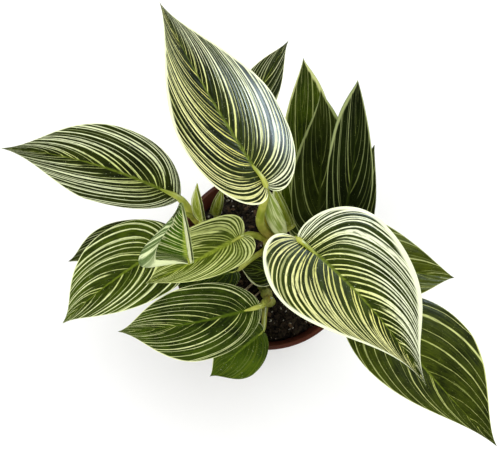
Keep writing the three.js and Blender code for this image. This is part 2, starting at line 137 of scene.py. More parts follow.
class Tree:
    """A node tree for a material or a shape."""

    def __init__(self, group):
        self.group = group

    def node(self, kind, settings=None, sockets=None, out=0):
        """Adds a node: its settings come first, then what its sockets take, which are values or wires."""
        made = self.group.nodes.new(kind)
        for name, value in (settings or {}).items():
            setattr(made, name, value)
        for key, value in (sockets or {}).items():
            for term in value if isinstance(value, list) else [value]:
                if isinstance(term, Wire):
                    self.group.links.new(term.socket, made.inputs[key])
                else:
                    made.inputs[key].default_value = term
        return Wire(self, made.outputs[out])

    def point(self, x, y, z):
        return self.node("ShaderNodeCombineXYZ", {}, {0: x, 1: y, 2: z})

    def mix(self, share, first, second):
        """From the first colour to the second."""
        return self.node("ShaderNodeMix", {"data_type": "RGBA"}, {0: share, 6: first, 7: second}, out=2)

    def noise(self, vector, scale, detail=2.0, roughness=0.5, out=0):
        """Cloudy noise from 0 to 1, as one number, or as a colour from output 1."""
        sockets = {"Vector": vector, "Scale": scale, "Detail": detail, "Roughness": roughness}
        return self.node("ShaderNodeTexNoise", {}, sockets, out)

    def nudge(self, vector, scale):
        """A random push for each place, half a unit either way at most."""
        return self.noise(vector, scale, out=1) - (0.5, 0.5, 0.5)

    def draws(self, vector):
        """Three random numbers for each whole-numbered vector."""
        return self.node("ShaderNodeTexWhiteNoise", {"noise_dimensions": "3D"}, {"Vector": vector}, 1).parts()


def material(name):
    """An empty material, with its tree and the coordinates on the object in metres."""
    made = bpy.data.materials.new(name)
    made.use_nodes = True
    made.node_tree.nodes.clear()
    tree = Tree(made.node_tree)
    return made, tree, tree.node("ShaderNodeTexCoord", out=3)


def surface(tree, height, relief, **sockets):
    """Ends a material: a height with its relief in metres goes to the normal, the rest to the shader."""
    values = {name.replace("_", " "): value for name, value in sockets.items()}
    bump = {"Strength": 1.0, "Distance": relief, "Height": height}
    values["Normal"] = tree.node("ShaderNodeBump", {}, bump)
    shader = tree.node("ShaderNodeBsdfPrincipled", {}, values)
    tree.group.links.new(shader.socket, tree.group.nodes.new("ShaderNodeOutputMaterial").inputs[0])


table_reach = 3.0
table_paint, tree, place = material("White table top")
grain = tree.noise(place, 40.0, 4.0)
near_white = tree.mix(grain, tint(252, 252, 252), tint(255, 255, 255))
surface(tree, grain, 0.0002, Base_Color=near_white, Roughness=0.6)
table_mesh = bpy.data.meshes.new("table_top")
corners = [(-table_reach, -table_reach, 0), (table_reach, -table_reach, 0)]
corners += [(table_reach, table_reach, 0), (-table_reach, table_reach, 0)]
table_mesh.from_pydata(corners, [], [(0, 1, 2, 3)])
table_mesh.materials.append(table_paint)
table_top = bpy.data.objects.new("table_top", table_mesh)
bpy.context.scene.collection.objects.link(table_top)
table_top.visible_glossy = False


def lamp(name, place, target, size, power, colour, only_gloss=False):
    """A square soft lamp that faces its target, and gives either the light or the gloss on the leaves."""
    data = bpy.data.lights.new(name, "AREA")
    data.size = size
    data.energy = power
    data.color = colour
    made = bpy.data.objects.new(name, data)
    made.location = place
    made.rotation_euler = (Vector(target) - Vector(place)).to_track_quat("-Z", "Y").to_euler()
    made.visible_glossy = only_gloss
    made.visible_diffuse = not only_gloss
    bpy.context.scene.collection.objects.link(made)


sky_blue, warm_white, white = (0.72, 0.88, 1.0), (1.0, 0.98, 0.94), (1.0, 1.0, 1.0)
lamp("window", (0.94, 0.77, 1.12), target=(0, 0.07, 0.2), size=0.55, power=44, colour=sky_blue,
     only_gloss=True)
lamp("key lamp", (0.8, 0.7, 1.3), target=(0, 0, 0.12), size=2.4, power=20, colour=warm_white)
lamp("fill lamp", (-0.9, -0.6, 1.2), target=(0, 0, 0.1), size=1.2, power=10, colour=white)
room_light = 0.78
world = bpy.data.worlds.new("Studio")
world.use_nodes = True
world.node_tree.nodes["Background"].inputs["Color"].default_value = (*white, 1.0)
world.node_tree.nodes["Background"].inputs["Strength"].default_value = room_light
world.cycles_visibility.glossy = False
bpy.context.scene.world = world
bpy.context.scene.view_settings.view_transform = "Standard"

camera_lens, camera_sensor = 67.7, 36
camera_place, camera_tilt = (-0.0100, -0.1074, 0.7090), math.radians(12)
camera_data = bpy.data.cameras.new("camera")
camera_data.lens = camera_lens
camera_data.sensor_width = camera_sensor
camera = bpy.data.objects.new("camera", camera_data)
camera.location = camera_place
camera.rotation_euler = (camera_tilt, 0, 0)
bpy.context.scene.collection.objects.link(camera)
bpy.context.scene.camera = camera

# ---- the pot ------------------------------------------------------------------------------------
# A tapered grower pot, moulded in one shot from reddish-brown polypropylene: a thin wall, a grip band
# under a rounded lip, and eight drain holes in its floor. Water and soil have left a dull film on it.
mm = 0.001
pot_height, rim_radius, base_radius, pot_wall, pot_floor = 98 * mm, 60 * mm, 43 * mm, 2 * mm, 2.6 * mm
lip_radius, band_height, band_step, band_slope, foot = 1.5 * mm, 14 * mm, 1.8 * mm, 2 * mm, 1.5 * mm
drain_holes, drain_radius, drain_ring = 8, 4 * mm, 30 * mm
pot_segments, wall_steps, lip_steps, drain_segments = 128, 8, 8, 32


def wall_radius(height):
    """The radius of the pot's outer wall at a height."""
    return base_radius + (rim_radius - band_step - base_radius) * height / pot_height


def new_piece(name, mesh):
    """A new object at the origin, with its place in its mesh."""
    made = bpy.data.objects.new(name, mesh)
    bpy.context.scene.collection.objects.link(made)
    return made


def settled(made):
    """Works a piece's modifiers into its mesh and takes them off."""
    seen = bpy.context.evaluated_depsgraph_get()
    mesh = bpy.data.meshes.new_from_object(made.evaluated_get(seen), depsgraph=seen)
    made.modifiers.clear()
    made.data = mesh


def revolved_faces(rings, segments):
    """The faces over rings of points, which follow a point below them and come before one above them."""
    faces = []
    for k in range(segments):
        after = (k + 1) % segments
        faces.append((0, 1 + after, 1 + k))
        for ring in range(rings - 1):
            low, high = 1 + ring * segments, 1 + (ring + 1) * segments
            faces.append((low + k, low + after, high + after, high + k))
        top = 1 + (rings - 1) * segments
        faces.append((top + k, top + after, 1 + rings * segments))
    return faces


def turned(name, profile, segments):
    """A closed mesh turned round +Z from a profile of (radius, height), which starts and ends on the axis."""
    points = [(0, 0, profile[0][1])]
    for radius, height in profile[1:-1]:
        for k in range(segments):
            angle = 2 * math.pi * k / segments
            points.append((radius * math.cos(angle), radius * math.sin(angle), height))
    points.append((0, 0, profile[-1][1]))
    mesh = bpy.data.meshes.new(name)
    mesh.from_pydata(points, [], revolved_faces(len(profile) - 2, segments))
    return mesh


band_foot = pot_height - band_height
slope_foot = band_foot - band_slope
profile = [(0, 0), (base_radius - foot, 0), (base_radius - 0.4 * foot, 0.4 * foot), (base_radius, foot)]
for k in range(wall_steps):
    height = slope_foot * (k + 1) / wall_steps
    profile.append((wall_radius(height), height))
profile.append((wall_radius(band_foot) + band_step, band_foot))
for k in range(lip_steps + 1):
    angle = math.pi * k / lip_steps
    profile.append((rim_radius - lip_radius + lip_radius * math.cos(angle),
                    pot_height - lip_radius + lip_radius * math.sin(angle)))
profile += [(wall_radius(band_foot) - pot_wall, band_foot), (wall_radius(pot_floor) - pot_wall, pot_floor)]
profile.append((0, pot_floor))
pot_shell = new_piece("pot_shell", turned("pot_shell", profile, pot_segments))
drill_foot, drill_top = -pot_floor, 2 * pot_floor
drill_profile = [(0, drill_foot), (drain_radius, drill_foot), (drain_radius, drill_top), (0, drill_top)]
drills = []
for k in range(drain_holes):
    angle = 2 * math.pi * (k + 0.5) / drain_holes
    drill = new_piece("drill", turned("drill", drill_profile, drain_segments))
    drill.location = (drain_ring * math.cos(angle), drain_ring * math.sin(angle), 0)
    drills.append(drill)
    cut = pot_shell.modifiers.new("drain hole", "BOOLEAN")
    cut.object = drill
settled(pot_shell)
for drill in drills:
    bpy.data.objects.remove(drill)
level_normal = 0.98
for face in pot_shell.data.polygons:
    face.use_smooth = abs(face.normal.z) < level_normal
pot_plastic, tree, place = material("Reddish-brown pot plastic")
cloudy = tree.noise(place, 35.0, 5.0, 0.6)
specks = tree.noise(place, 1400.0, 2.0)
scuffs = tree.noise(place * (1.0, 1.0, 9.0), 160.0, 4.0, 0.7).step(0.58, 0.75)
height_up = place.parts()[2]
film = (height_up.step(0.082, 0.098) * 0.2 + cloudy.step(0.45, 0.8) * 0.35) * (0.4 + 0.6 * specks)
plastic = tree.mix(cloudy, tint(66, 24, 12), tint(98, 38, 21))
plastic = tree.mix(film, plastic, tint(104, 70, 52))
plastic = tree.mix(scuffs * 0.25, plastic, tint(140, 96, 78))
dullness = 0.38 + 0.25 * film + 0.15 * scuffs
surface(tree, specks + cloudy * 3.0, 0.00008, Base_Color=plastic, Roughness=dullness)
pot_shell.data.materials.clear()
pot_shell.data.materials.append(pot_plastic)
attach(pot_shell, "root")
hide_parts("pot")

# ---- the potting mix ----------------------------------------------------------------------------
# Peat, fine bark and perlite fill the pot to just under its lip. The top is loose: crumbs, flat bark
# chips and white perlite beads lie on it, a little lower along the wall.
soil_height, lump_height = 86, 1.6
soil_level, soil_lump, edge_dip, edge_gap = soil_height * mm, lump_height * mm, 3 * mm, 0.55 * mm
soil_floor = pot_floor + 0.3 * mm
soil_edge = wall_radius(soil_level - edge_dip - soil_lump) - pot_wall - edge_gap
soil_rings, soil_segments = 56, 160


def soil_top(x, y):
    """The height of the soil at a place, all in millimetres."""
    lumps = math.sin(0.37 * x + 1.3) * math.cos(0.31 * y)
    crumbs = 0.6 * math.sin(0.83 * x - 0.71 * y)
    fine = 0.35 * math.sin(2.1 * x + 0.9 * y) * math.sin(1.7 * y - 0.6 * x)
    fine += 0.2 * math.sin(4.3 * x) * math.sin(3.9 * y)
    return soil_height + lump_height * (lumps + crumbs) + fine


points = [(0, 0, soil_floor)]
rings = [(wall_radius(soil_floor) - pot_wall - edge_gap, None)]
rings += [(soil_edge * (1 - k / soil_rings), 1 - k / soil_rings) for k in range(soil_rings)]
for radius, share in rings:
    for k in range(soil_segments):
        angle = 2 * math.pi * k / soil_segments
        x, y = radius * math.cos(angle), radius * math.sin(angle)
        z = soil_floor if share is None else soil_top(x / mm, y / mm) * mm - edge_dip * share ** 6
        points.append((x, y, z))
points.append((0, 0, soil_top(0, 0) * mm))
soil_mesh = bpy.data.meshes.new("potting_mix")
soil_mesh.from_pydata(points, [], revolved_faces(len(rings), soil_segments))

peat, tree, place = material("Moist peat and bark")
lumps = tree.noise(place, 420.0, 5.0, 0.65)
fibres = tree.noise(place * (1.0, 3.0, 1.0), 900.0, 4.0, 0.7)
peat_brown = tree.mix(lumps.step(0.35, 0.7), tint(10, 7, 4), tint(66, 55, 43))
peat_brown = tree.mix(fibres.step(0.6, 0.72) * 0.5, peat_brown, tint(116, 102, 82))
surface(tree, lumps + 0.5 * fibres, 0.0006, Base_Color=peat_brown, Roughness=0.92, Specular_IOR_Level=0.08)
bark, tree, place = material("Bark chips")
bands = tree.noise(place * (1.0, 4.0, 2.0), 500.0, 4.0)
bark_brown = tree.mix(bands, tint(40, 30, 21), tint(112, 88, 64))
surface(tree, bands, 0.0002, Base_Color=bark_brown, Roughness=0.85, Specular_IOR_Level=0.1)
perlite, tree, place = material("Perlite beads")
pores = tree.noise(place, 1500.0, 3.0)
bead_white = tree.mix(pores, tint(104, 96, 84), tint(206, 200, 188))
surface(tree, pores, 0.0002, Base_Color=bead_white, Roughness=0.8)


def shape_tree(name, **inputs):
    """A Geometry Nodes tree with its named inputs, each given by its kind, and the wires that bring them."""
    group = bpy.data.node_groups.new(name, "GeometryNodeTree")
    group.interface.new_socket("Geometry", in_out="OUTPUT", socket_type="NodeSocketGeometry")
    for label, kind in {"Geometry": "Geometry", **inputs}.items():
        group.interface.new_socket(label.replace("_", " "), in_out="INPUT", socket_type="NodeSocket" + kind)
    entry = group.nodes.new("NodeGroupInput")
    tree = Tree(group)
    return tree, {socket.name: Wire(tree, socket) for socket in entry.outputs if socket.name}


def end_shape(tree, shape):
    """The shape as plain mesh is what the tree gives back."""
    whole = tree.node("GeometryNodeRealizeInstances", {}, {0: shape})
    tree.group.links.new(whole.socket, tree.group.nodes.new("NodeGroupOutput").inputs[0])
    return tree.group


def grow(made, group, **values):
    """Puts a tree on a piece, with values for its named inputs."""
    modifier = made.modifiers.new(group.name, "NODES")
    modifier.node_group = group
    for item in group.interface.items_tree:
        key = item.name.replace(" ", "_")
        if item.in_out == "INPUT" and key in values:
            modifier[item.identifier] = values[key]


tree, given = shape_tree("Loose bits", Bit="Material", Density="Float", Smallest="Vector", Largest="Vector",
                         Reach="Float", Seed="Int")
ground = given["Geometry"]
least_upward, most_tilt, raggedness = 0.35, 0.5, 1.2 * mm
upward = tree.node("GeometryNodeInputNormal").parts()[2] > least_upward
spots = tree.node("GeometryNodeDistributePointsOnFaces", {}, {
    "Mesh": ground, "Selection": upward, "Density": given["Density"], "Seed": given["Seed"]})
aside, back, height_up = tree.node("GeometryNodeInputPosition").parts()
too_far = aside * aside + back * back > given["Reach"] * given["Reach"]
too_low = height_up < soil_level - 3 * edge_dip
spots = tree.node("GeometryNodeDeleteGeometry", {}, {"Geometry": spots, "Selection": too_far + too_low})
bead = tree.node("GeometryNodeMeshIcoSphere", {}, {"Radius": 1.0, "Subdivisions": 2})
turn = tree.node("FunctionNodeRandomValue", {"data_type": "FLOAT_VECTOR"},
                 {0: (-most_tilt, -most_tilt, -math.pi), 1: (most_tilt, most_tilt, math.pi),
                  8: given["Seed"] + 1})
grown_size = tree.node("FunctionNodeRandomValue", {"data_type": "FLOAT_VECTOR"},
                       {0: given["Smallest"], 1: given["Largest"], 8: given["Seed"] + 2})
strewn = tree.node("GeometryNodeInstanceOnPoints", {}, {
    "Points": spots, "Instance": bead, "Rotation": turn, "Scale": grown_size})
strewn = tree.node("GeometryNodeRealizeInstances", {}, {0: strewn})
ragged = tree.nudge(tree.node("GeometryNodeInputPosition"), 900.0) * raggedness
strewn = tree.node("GeometryNodeSetPosition", {}, {"Geometry": strewn, "Offset": ragged})
strewn = tree.node("GeometryNodeSetMaterial", {}, {"Geometry": strewn, "Material": given["Bit"]})
both = tree.node("GeometryNodeJoinGeometry", {}, {0: [ground, strewn]})
loose_bits = end_shape(tree, both)

soil_mesh.materials.append(peat)
for face in soil_mesh.polygons:
    face.use_smooth = True
potting_mix = new_piece("potting_mix", soil_mesh)
for stuff, number, smallest, largest, margin, seed in (
        (peat, 90000.0, (0.5, 0.4, 0.3), (1.7, 1.4, 1.1), 0, 3),
        (bark, 9000.0, (1, 0.6, 0.3), (3.6, 1.6, 0.7), 3, 5),
        (perlite, 19000.0, (0.2, 0.2, 0.2), (1.1, 1, 1), 0.5, 9)):
    grow(potting_mix, loose_bits, Bit=stuff, Density=number, Smallest=[size * mm for size in smallest],
         Largest=[size * mm for size in largest], Reach=soil_edge - margin * mm, Seed=seed)
settled(potting_mix)
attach(potting_mix, "root")
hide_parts("soil")

# ---- twigs and a root on the soil ---------------------------------------------------------------
# Dry scraps lie on the mix: two pale twigs at the front, and a surface root that curves out of the soil
# at the back left. All are thin round stalks, swept along a line, as stems and petioles are too.
def growth_sheet(tree, rows, columns):
    """A flat unit grid, with the place of each spot in its UV map "growth", which patterns then follow."""
    sheet = tree.node("GeometryNodeMeshGrid", {}, {
        "Size X": 1.0, "Size Y": 1.0, "Vertices X": rows, "Vertices Y": columns})
    return tree.node("GeometryNodeStoreNamedAttribute", {"data_type": "FLOAT2", "domain": "CORNER"}, {
        "Geometry": sheet, "Name": "growth", "Value": Wire(tree, sheet.socket.node.outputs["UV Map"])})


tree, given = shape_tree(
    "Stalk", Sides="Int", Steps="Int", Thick="Float", Thin="Float", Power="Float", Tail="Float",
    Rings="Float", Ring_height="Float", Overlap="Float", Belly_from="Float", Belly_to="Float",
    Knobble="Float", Skin="Material")
path = tree.node("GeometryNodeMeshToCurve", {}, {"Mesh": given["Geometry"]})
path = tree.node("GeometryNodeCurveSplineType", {"spline_type": "CATMULL_ROM"}, {"Curve": path})
sheet = growth_sheet(tree, given["Steps"], given["Sides"])
across, around, _ = (tree.node("GeometryNodeInputPosition") + (0.5, 0.5, 0.0)).parts()
tail_from = 0.72
end_row = 1.0 / (given["Steps"] - 1.0)
along = ((across - end_row) / (1.0 - 2.0 * end_row)).most(0.0).least(1.0)
open_row = ((across / end_row) * ((1.0 - across) / end_row) * 2.0).least(1.0).step(0.5, 0.9)
sample = tree.node("GeometryNodeSampleCurve", {"mode": "FACTOR"}, {"Curves": path, "Factor": along})
centre, tangent, normal = (Wire(tree, sample.socket.node.outputs[k]) for k in (1, 2, 3))
binormal = tangent.cross(normal)
radius = given["Thin"] + (given["Thick"] - given["Thin"]) * (1.0 - along) ** given["Power"]
radius = radius + given["Ring height"] * (given["Rings"] * along * (2 * math.pi)).apply("COSINE")
belly = given["Belly from"] + (given["Belly to"] - given["Belly from"]) * along
radius = radius * (belly * math.pi).apply("SINE") * (1.0 - given["Overlap"] * around.apply("FRACT"))
radius = radius * (1.0 - given["Tail"] * along.step(tail_from, 1.0)) * open_row
turn = around * (2 * math.pi)
spot = centre + normal * (radius * turn.apply("COSINE")) + binormal * (radius * turn.apply("SINE"))
knobs = tree.nudge(spot, 160.0) * (given["Knobble"] * open_row)
same_point = 1e-6
stalk = tree.node("GeometryNodeSetPosition", {}, {"Geometry": sheet, "Position": spot + knobs})
stalk = tree.node("GeometryNodeMergeByDistance", {}, {"Geometry": stalk, "Distance": same_point})
stalk = tree.node("GeometryNodeFlipFaces", {}, {0: stalk})
stalk = tree.node("GeometryNodeSetShadeSmooth", {}, {0: stalk, 2: True})
stalk = tree.node("GeometryNodeSetMaterial", {}, {"Geometry": stalk, "Material": given["Skin"]})
stalk_shape = end_shape(tree, stalk)
plain_stalk = {"Sides": 21, "Steps": 44, "Power": 1.0, "Tail": 0.0, "Rings": 0.0, "Ring_height": 0.0,
               "Overlap": 0.0, "Belly_from": 0.5, "Belly_to": 0.5, "Knobble": 0.0}


def line_of(name, points):
    """A new piece that is only a line through these points, given in millimetres."""
    mesh = bpy.data.meshes.new(name)
    edges = [(k, k + 1) for k in range(len(points) - 1)]
    mesh.from_pydata([Vector(point) * mm for point in points], edges, [])
    return new_piece(name, mesh)


dry_bark, tree, place = material("Dry twig bark")
grain = tree.noise(place, 1200.0, 3.0)
dry_brown = tree.mix(grain, tint(120, 96, 70), tint(214, 194, 160))
surface(tree, grain, 0.0001, Base_Color=dry_brown, Roughness=0.85)
twig_knobble = 0.4 * mm
for name, points, thick, thin in (
        ("twig_front", [(-13.8, -20.2, 87.6), (-10, -17, 89), (-6.2, -13.2, 88)], 0.85, 0.6),
        ("twig_small", [(-6.6, -23.6, 88), (-4.3, -21.6, 89), (-2.2, -19.8, 88.2)], 0.75, 0.5),
        ("surface_root", [(-31.6, 40, 83), (-31.4, 38.6, 86.6), (-30.8, 36.2, 88.2), (-30.6, 33.2, 88.8),
                          (-31.6, 28.8, 88.6), (-33.4, 25.6, 86.4)], 0.9, 0.6)):
    scrap = line_of(name, points)
    grow(scrap, stalk_shape, **{**plain_stalk, "Thick": thick * mm, "Thin": thin * mm,
                                "Knobble": twig_knobble, "Skin": dry_bark})
    settled(scrap)
    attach(scrap, "root")

# ---- the stems ----------------------------------------------------------------------------------
# Four short plantlet stems stand in the soil. Each is fleshy and yellow-green, ringed where old leaves
# have dropped, with thin pale streaks and a brown papery film near its foot.
stem_skin, tree, place = material("Stem skin")
patches = tree.noise(place, 140.0, 3.0)
streaks = tree.noise(place * (1.0, 1.0, 0.12), 1100.0, 3.0)
height_up = place.parts()[2]
green = tree.mix(patches.step(0.3, 0.7), tint(116, 128, 40), tint(172, 172, 78))
green = tree.mix(streaks.step(0.5, 0.7) * 0.45, green, tint(206, 208, 138))
brown = (1.0 - height_up.step(0.086, 0.097)) * 0.55 + patches.step(0.62, 0.72) * 0.35
surface(tree, streaks + patches, 0.0002, Base_Color=tree.mix(brown, green, tint(96, 70, 40)), Roughness=0.42)
stem_foot, stem_rings, ring_height = 62, 5.0, 0.35 * mm
stems = {
    "stem_centre": ((3, 3), (4, 11, 122), 5.6, 4.6),
    "stem_left": ((-36, 17), (-38, 19, 106), 4.6, 3.8),
    "stem_right": ((37, -4), (38, 0, 102), 5, 4),
    "stem_front": ((-2, -15), (3, -30, 104), 4, 3.4),
}
for node, (foot_place, crown, thick, thin) in stems.items():
    stem = line_of("grown_" + node, [(*foot_place, stem_foot), (*foot_place, soil_height), crown])
    grow(stem, stalk_shape, **{**plain_stalk, "Sides": 29, "Steps": 72, "Thick": thick * mm,
                               "Thin": thin * mm, "Rings": stem_rings, "Ring_height": ring_height,
                               "Skin": stem_skin})
    settled(stem)
    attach(stem, "root")
    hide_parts(node)

# ---- how a leaf grows ---------------------------------------------------------------------------
# Each leaf is one piece: a fleshy petiole that clasps its stem, and a thin waxy blade whose midrib runs
# on from it. The side veins leave the midrib close together at the base and arch to the margin, and the
# blade is quilted between them. The cream stripes follow the veins.
half_inputs = ["Half", "Widest", "Lobe", "Shoulder", "Full", "Drip", "Fold", "Curl", "Roll", "Taper"]
sockets = {side + "_" + name: "Float" for side in ("Left", "Right") for name in half_inputs}
tree, given = shape_tree(
    "Blade", Base="Vector", Inner_1="Vector", Inner_2="Vector", Tip="Vector", Up="Vector", Wave="Float",
    Thickness="Float", Crowding="Float", Bend_along="Float", Bend_out="Float", Rib_depth="Float",
    Relief="Float", Quilts="Float", Uneven="Float", Seed="Float", Rows="Int", Columns="Int", Upper="Material",
    Under="Material", **sockets)
sheet = growth_sheet(tree, given["Rows"], given["Columns"])
row, column, _ = tree.node("GeometryNodeInputPosition").parts()
row = row + 0.5
right = column < 0.0
hand = right * 2.0 - 1.0
rib_closeness = 1.25
reach_out = (column.apply("ABSOLUTE") * 2.0) ** rib_closeness
half = {name: given["Left " + name] + (given["Right " + name] - given["Left " + name]) * right
        for name in half_inputs}


def bezier(share, *points):
    """A point of the curve with these control points, which may be numbers or vectors."""
    rest = 1.0 - share
    if len(points) == 3:
        return points[0] * (rest * rest) + points[1] * (2.0 * share * rest) + points[2] * (share * share)
    first, second, third, last = points
    return (first * (rest * rest * rest) + second * (3.0 * share * rest * rest)
            + third * (3.0 * share * share * rest) + last * (share * share * share))


# The rows up to vein_behind fan back into the lobe, and the later ones run forward to the tip. The margin
# is a curve back from the petiole to the widest place, and another one from there to the tip.
vein_behind, vein_to_widest, lobe_reach, lobe_swell, drip_width = 0.4, 0.13, 1.5, 0.12, 0.1
behind = row < vein_behind + 1e-5
back_share = (row / vein_behind).least(1.0)
front_share = ((row - vein_behind) / (1.0 - vein_behind)).most(0.0)
shoulder = half["Widest"] - half["Shoulder"] * (half["Widest"] + half["Lobe"])
back_along = bezier(back_share, 0.0, half["Lobe"] * -lobe_reach, shoulder, half["Widest"])
back_out = bezier(back_share, 0.0, lobe_swell, 1.0, 1.0)
front_along = bezier(front_share, half["Widest"], half["Widest"] + half["Full"] * (1.0 - half["Widest"]),
                     1.0 - half["Drip"], 1.0)
front_out = bezier(front_share, 1.0, 1.0, drip_width, 0.0)
end_along = front_along + (back_along - front_along) * behind
edge = front_out + (back_out - front_out) * behind
front_start = vein_to_widest + (1.0 - vein_to_widest) * front_share ** given["Crowding"]
start = front_start + (vein_to_widest * back_share - front_start) * behind
bend = start + (end_along - start) * given["Bend along"]
share = bezier(reach_out, start, bend, end_along)
reach = 2.0 * given["Bend out"] * edge * reach_out * (1.0 - reach_out) + edge * reach_out * reach_out

# Out from the midrib the half bends by its fold at once and by its curl bit by bit, as a chain of steps.
curl_steps = 12
towards = reach / edge
curl = half["Curl"] * edge ** half["Taper"] * (towards ** half["Roll"])
level, lift = 0.0, 0.0
for k in range(curl_steps):
    angle = (half["Fold"] + curl * ((k + 0.5) / curl_steps) ** half["Roll"]) * (math.pi / 180)
    level = angle.apply("COSINE") + level
    lift = angle.apply("SINE") + lift
stride = reach * half["Half"] / curl_steps
ripple = given["Wave"] * reach * reach * ((2.2 * share + 0.3 * hand) * (2 * math.pi)).apply("SINE")
lift = lift * stride + ripple

inside = share.most(0.0).least(1.0)
points = [given[name] for name in ("Base", "Inner 1", "Inner 2", "Tip")]
rib = bezier(inside, *points)
first, second, third = ((after - before) * 3.0 for before, after in zip(points, points[1:]))
tangent = bezier(inside, first, second, third).unit()
span = points[3] - points[0]
length = tree.node("ShaderNodeVectorMath", {"operation": "LENGTH"}, {0: span}, out=1)
out = tangent.cross(given["Up"]).unit()
rise = out.cross(tangent).unit()
spot = rib + tangent * ((share - inside) * length) + out * (hand * level * stride) + rise * lift
swell = (tree.noise(spot + given["Seed"] * (1.0, 0.7, 0.3), 45.0, 1.0) - 0.5) * given["Uneven"] * reach
spot = spot + rise * swell
middle = tree.node("GeometryNodeSetPosition", {}, {"Geometry": sheet, "Position": spot})
middle = tree.node("GeometryNodeCaptureAttribute", {"domain": "POINT"}, {"Geometry": middle})
capture = middle.socket.node


def kept(wire):
    """Keeps a number that the grid has now, for the steps after its rows have run together."""
    capture.capture_items.new("FLOAT", "kept")
    tree.group.links.new(wire.socket, capture.inputs[len(capture.capture_items)])
    return Wire(tree, capture.outputs[len(capture.capture_items)])


from_rib = kept(reach * half["Half"])
kept_start = kept(start)
kept_reach = kept(reach_out)
kept_row = kept(row)
middle = tree.node("GeometryNodeMergeByDistance", {}, {"Geometry": middle, "Distance": same_point})
normal = tree.node("GeometryNodeInputNormal")

# The blade gets its thickness on both sides: it closes round at its margins, its midrib stands out below
# and lies in a groove above, and it is quilted between the veins.
margin_squareness, end_squareness, rib_fade = 14.0, 24.0, 0.8
rib_reach, rib_narrowing, groove_depth, groove_reach = 2.4 * mm, 1.4 * mm, 0.35 * mm, 1.6 * mm
rounding = (1.0 - kept_reach ** margin_squareness).most(0.0).apply("SQRT")
ends = (1.0 - (kept_row * 2.0 - 1.0).apply("ABSOLUTE") ** end_squareness).most(0.0).apply("SQRT")
closing = rounding * ends
ribbed = (1.0 - (from_rib / (rib_reach - rib_narrowing * kept_start)) ** 2.0).most(0.0)
depth = given["Thickness"] * 0.5 + given["Rib depth"] * (1.0 - kept_start) ** rib_fade * ribbed
groove = groove_depth * (1.0 - kept_start) * (1.0 - (from_rib / groove_reach) ** 2.0).most(0.0)
wave = (kept_row * given["Quilts"] * (2 * math.pi)).apply("COSINE") * (kept_reach * (1.0 - kept_reach) * 4.0)
height = given["Thickness"] * 0.5 + given["Relief"] * wave - groove
upper = tree.node("GeometryNodeSetPosition", {}, {"Geometry": middle, "Offset": normal * (height * closing)})
lower = tree.node("GeometryNodeSetPosition", {}, {
    "Geometry": middle, "Offset": normal * ((given["Relief"] * wave - depth) * closing)})
lower = tree.node("GeometryNodeFlipFaces", {}, {0: lower})
upper = tree.node("GeometryNodeSetMaterial", {}, {"Geometry": upper, "Material": given["Upper"]})
lower = tree.node("GeometryNodeSetMaterial", {}, {"Geometry": lower, "Material": given["Under"]})
shell = tree.node("GeometryNodeJoinGeometry", {}, {0: [upper, lower]})
shell = tree.node("GeometryNodeMergeByDistance", {}, {"Geometry": shell, "Distance": same_point})
shell = tree.node("GeometryNodeSetShadeSmooth", {"domain": "FACE"}, {0: shell, 2: True})
sharp_angle = 1.2
sharp = tree.node("GeometryNodeInputMeshEdgeAngle") > sharp_angle
shell = tree.node("GeometryNodeSetShadeSmooth", {"domain": "EDGE"}, {0: shell, 1: sharp, 2: False})
blade_shape = end_shape(tree, tree.node("GeometryNodeJoinGeometry", {}, {0: [given["Geometry"], shell]}))


vein_sweep, vein_arch = 0.64, 1.0


def growth_places(tree, sweep=vein_sweep, arch=vein_arch):
    """Where a spot of a blade lies: the vein that it is on, how far out, and which half, 0 left and 1 right.
    Veins start close together at the base, and sweep forward on their way out."""
    row, sideways, _ = tree.node("ShaderNodeUVMap", {"uv_map": "growth"}).parts()
    right = sideways < 0.5
    out = (sideways * 2.0 - 1.0).apply("ABSOLUTE") ** rib_closeness
    source = row ** (1.0 / (1.0 - sweep * out ** arch))
    crowded = 0.55 * source ** 0.4 * (1.0 - source)
    return source * 0.325 + 0.98 * (source - 0.25).most(0.0) ** 1.3 + crowded, out, right


def stripes(tree, along, out, right, number, width, seed):
    """Pale lines along the side veins: where they are, and how bright, which differs from line to line."""
    drift = tree.noise(tree.point(along * 7.0, out * 1.8 + right * 9.0, seed), 1.0, 4.0, 0.55) - 0.5
    place = along * number + drift * min(0.8, 0.04 * number)
    cell = place.apply("FLOOR")
    first, second, third = tree.draws(tree.point(cell, right * 31.0, seed))
    centre = 0.5 + (second - 0.5) * 0.4
    widened = (0.36 + 0.7 * first) * (0.46 + 0.62 * (out * 2.0).least(1.0))
    half_width = width * widened * (1.0 - 0.65 * along.step(0.62, 0.95))
    away = (place - cell - centre).apply("ABSOLUTE")
    line = 1.0 - away.step(half_width * 0.5, half_width * 1.1 + 0.02)
    begins = (third - 0.6).most(0.0) * 1.2 - 0.1
    return line * out.step(begins, begins + 0.14), (0.25 + first * 0.4 + second * 0.6).least(1.0)


